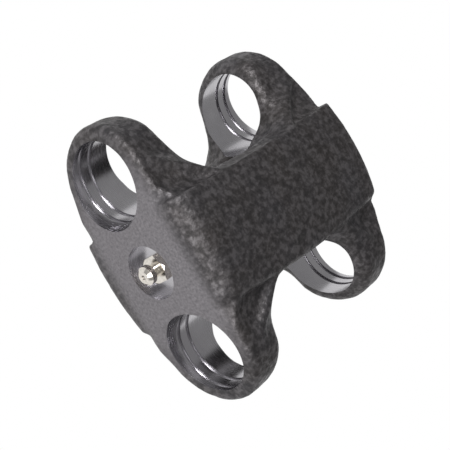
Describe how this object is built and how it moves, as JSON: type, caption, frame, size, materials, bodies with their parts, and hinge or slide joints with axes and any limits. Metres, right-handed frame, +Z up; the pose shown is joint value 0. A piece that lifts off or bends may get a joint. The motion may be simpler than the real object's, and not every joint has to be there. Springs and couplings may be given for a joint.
{
  "type": "forged centre yoke",
  "caption": "Forged double-cardan centre yoke: coaxial bearing ears front and back of a crowned ring, with a grease fitting in one cheek.",
  "frame": {"origin": "middle of the round passage through the ring, on the shaft line, level with all four bores", "axes": "+Y along the shaft line through the centre passage, towards the slightly smaller front ears; +X along the bearing bores, away from the grease fitting; +Z up through the broad crowned band"},
  "size_m": [0.0923, 0.1006, 0.056],
  "materials": {
    "forged_steel": "shot-blasted dark forging skin, bores bright machined",
    "plated_steel": "bright nickel plate",
    "ball_steel": "polished",
    "spring_steel": "drawn wire"
  },
  "bodies": {
    "root": {"forged_yoke": "forged_steel", "grease_fitting_body": "plated_steel", "grease_fitting_ball": "ball_steel", "grease_fitting_spring": "spring_steel"}
  },
  "joints": []
}
